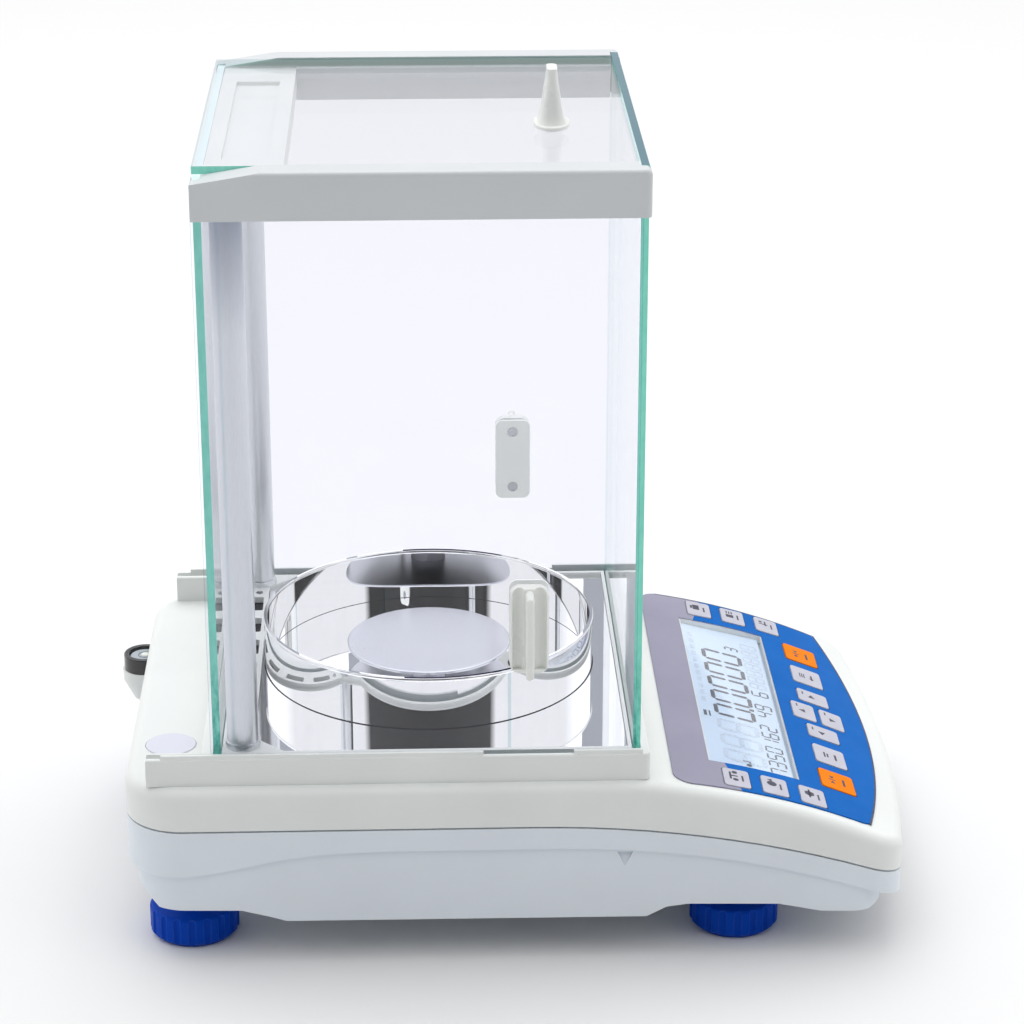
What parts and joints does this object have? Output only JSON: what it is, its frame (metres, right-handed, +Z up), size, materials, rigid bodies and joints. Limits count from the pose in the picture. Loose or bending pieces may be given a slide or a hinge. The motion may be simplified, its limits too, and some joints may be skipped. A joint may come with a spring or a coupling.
{
  "type": "analytical balance",
  "caption": "Analytical balance: low base with sloping keypad and display, glass draught shield with three sliding doors, round pan inside a wind ring, levelling feet.",
  "frame": {"origin": "on the bench, under the middle of the balance's outline", "axes": "+Z up, -Y towards the operator and the keypad, +Y to the rear, +X to the operator's right"},
  "size_m": [0.219, 0.333, 0.35],
  "materials": {
    "cream_plastic": "fine texture",
    "grey_plastic": "fine texture",
    "rail_plastic": "fine texture",
    "cap_plastic": "satin",
    "handle_plastic": "satin",
    "blue_plastic": "satin",
    "black_plastic": "gloss",
    "overlay_film": "semi-gloss film",
    "grey_key": "semi-gloss film",
    "orange_key": "semi-gloss film",
    "clear_window": "clear",
    "display_glass": "backlit",
    "circuit_board": "solder mask",
    "cast_metal": "cast",
    "machined_metal": "machined",
    "magnet_metal": "plated",
    "screw_steel": "plated",
    "port_metal": "plated",
    "mirror_steel": "mirror polished",
    "pan_steel": "fine brushed",
    "post_metal": "satin anodised",
    "shield_glass": "clear, green edges",
    "vial_glass": "clear"
  },
  "bodies": {
    "base": {"chamber_plinth": "cream_plastic", "chassis_plate": "cast_metal", "cover_cap": "cap_plastic", "data_ports": "port_metal", "display_board": "circuit_board", "display_window": "clear_window", "floor_plate": "mirror_steel", "front_glass": "shield_glass", "keypad_overlay": "overlay_film", "lcd_module": "display_glass", "left_post": "post_metal", "left_top_rail": "rail_plastic", "level_bracket": "cream_plastic", "level_cap_ring": "black_plastic", "level_vial": "vial_glass", "load_cell": "machined_metal", "lower_shell": "grey_plastic", "magnet_unit": "magnet_metal", "main_board": "circuit_board", "pan_carrier": "machined_metal", "power_socket": "black_plastic", "rear_connector_plate": "grey_plastic", "rear_glass": "shield_glass", "rear_head": "cream_plastic", "right_post": "post_metal", "right_top_rail": "rail_plastic", "shell_screws": "screw_steel", "upper_shell": "cream_plastic", "vent_strip": "cream_plastic", "vent_strip_screws": "screw_steel"},
    "left_door": {"left_door_glass": "shield_glass", "left_door_handle": "handle_plastic", "left_handle_plate": "handle_plastic", "left_handle_screws": "screw_steel"},
    "right_door": {"right_door_glass": "shield_glass", "right_door_handle": "handle_plastic", "right_handle_plate": "handle_plastic", "right_handle_screws": "screw_steel"},
    "top_door": {"top_door_glass": "shield_glass", "top_door_knob": "handle_plastic"},
    "pan_body": {"pan": "pan_steel"},
    "ring_body": {"wind_ring": "mirror_steel"},
    "foot_front_left_body": {"foot_front_left": "blue_plastic"},
    "foot_front_right_body": {"foot_front_right": "blue_plastic"},
    "foot_rear_left_body": {"foot_rear_left": "blue_plastic"},
    "foot_rear_right_body": {"foot_rear_right": "blue_plastic"},
    "key_left_rear_body": {"key_left_rear": "grey_key"},
    "key_left_middle_body": {"key_left_middle": "grey_key"},
    "key_left_front_body": {"key_left_front": "grey_key"},
    "key_tare_left_body": {"key_tare_left": "orange_key"},
    "key_wide_left_body": {"key_wide_left": "grey_key"},
    "key_arrow_left_body": {"key_arrow_left": "grey_key"},
    "key_right_rear_body": {"key_right_rear": "grey_key"},
    "key_right_middle_body": {"key_right_middle": "grey_key"},
    "key_right_front_body": {"key_right_front": "grey_key"},
    "key_tare_right_body": {"key_tare_right": "orange_key"},
    "key_wide_right_body": {"key_wide_right": "grey_key"},
    "key_arrow_right_body": {"key_arrow_right": "grey_key"},
    "key_arrow_up_body": {"key_arrow_up": "grey_key"},
    "key_arrow_down_body": {"key_arrow_down": "grey_key"}
  },
  "joints": [
    {"name": "left_door_slide", "type": "slide", "parent": "base", "child": "left_door", "axis": [0, 1, 0], "range_m": [0, 0.108]},
    {"name": "right_door_slide", "type": "slide", "parent": "base", "child": "right_door", "axis": [0, 1, 0], "range_m": [0, 0.108]},
    {"name": "top_door_slide", "type": "slide", "parent": "base", "child": "top_door", "axis": [0, 1, 0], "range_m": [0, 0.125]},
    {"name": "pan_lift", "type": "slide", "parent": "base", "child": "pan_body", "axis": [0, 0, 1], "range_m": [0, 0.06]},
    {"name": "ring_lift", "type": "slide", "parent": "base", "child": "ring_body", "axis": [0, 0, 1], "range_m": [0, 0.06]},
    {"name": "foot_front_left_turn", "type": "hinge", "parent": "base", "child": "foot_front_left_body", "pos_m": [-0.072, -0.094, 0.02], "axis": [0, 0, 1], "range_deg": [-900, 900]},
    {"name": "foot_front_right_turn", "type": "hinge", "parent": "base", "child": "foot_front_right_body", "pos_m": [0.072, -0.094, 0.02], "axis": [0, 0, 1], "range_deg": [-900, 900]},
    {"name": "foot_rear_left_turn", "type": "hinge", "parent": "base", "child": "foot_rear_left_body", "pos_m": [-0.072, 0.1286, 0.02], "axis": [0, 0, 1], "range_deg": [-900, 900]},
    {"name": "foot_rear_right_turn", "type": "hinge", "parent": "base", "child": "foot_rear_right_body", "pos_m": [0.072, 0.1286, 0.02], "axis": [0, 0, 1], "range_deg": [-900, 900]},
    {"name": "key_left_rear_press", "type": "slide", "parent": "base", "child": "key_left_rear_body", "axis": [0, 0.2204, -0.9754], "range_m": [0, 0.0004], "stiffness_N_per_m": 3000},
    {"name": "key_left_middle_press", "type": "slide", "parent": "base", "child": "key_left_middle_body", "axis": [0, 0.2717, -0.9624], "range_m": [0, 0.0004], "stiffness_N_per_m": 3000},
    {"name": "key_left_front_press", "type": "slide", "parent": "base", "child": "key_left_front_body", "axis": [0, 0.323, -0.9464], "range_m": [0, 0.0004], "stiffness_N_per_m": 3000},
    {"name": "key_tare_left_press", "type": "slide", "parent": "base", "child": "key_tare_left_body", "axis": [0, 0.366, -0.9306], "range_m": [0, 0.0004], "stiffness_N_per_m": 3000},
    {"name": "key_wide_left_press", "type": "slide", "parent": "base", "child": "key_wide_left_body", "axis": [0, 0.366, -0.9306], "range_m": [0, 0.0004], "stiffness_N_per_m": 3000},
    {"name": "key_arrow_left_press", "type": "slide", "parent": "base", "child": "key_arrow_left_body", "axis": [0, 0.366, -0.9306], "range_m": [0, 0.0004], "stiffness_N_per_m": 3000},
    {"name": "key_right_rear_press", "type": "slide", "parent": "base", "child": "key_right_rear_body", "axis": [0, 0.2204, -0.9754], "range_m": [0, 0.0004], "stiffness_N_per_m": 3000},
    {"name": "key_right_middle_press", "type": "slide", "parent": "base", "child": "key_right_middle_body", "axis": [0, 0.2717, -0.9624], "range_m": [0, 0.0004], "stiffness_N_per_m": 3000},
    {"name": "key_right_front_press", "type": "slide", "parent": "base", "child": "key_right_front_body", "axis": [0, 0.323, -0.9464], "range_m": [0, 0.0004], "stiffness_N_per_m": 3000},
    {"name": "key_tare_right_press", "type": "slide", "parent": "base", "child": "key_tare_right_body", "axis": [0, 0.366, -0.9306], "range_m": [0, 0.0004], "stiffness_N_per_m": 3000},
    {"name": "key_wide_right_press", "type": "slide", "parent": "base", "child": "key_wide_right_body", "axis": [0, 0.366, -0.9306], "range_m": [0, 0.0004], "stiffness_N_per_m": 3000},
    {"name": "key_arrow_right_press", "type": "slide", "parent": "base", "child": "key_arrow_right_body", "axis": [0, 0.366, -0.9306], "range_m": [0, 0.0004], "stiffness_N_per_m": 3000},
    {"name": "key_arrow_up_press", "type": "slide", "parent": "base", "child": "key_arrow_up_body", "axis": [0, 0.3455, -0.9384], "range_m": [0, 0.0004], "stiffness_N_per_m": 3000},
    {"name": "key_arrow_down_press", "type": "slide", "parent": "base", "child": "key_arrow_down_body", "axis": [0, 0.3858, -0.9226], "range_m": [0, 0.0004], "stiffness_N_per_m": 3000}
  ]
}
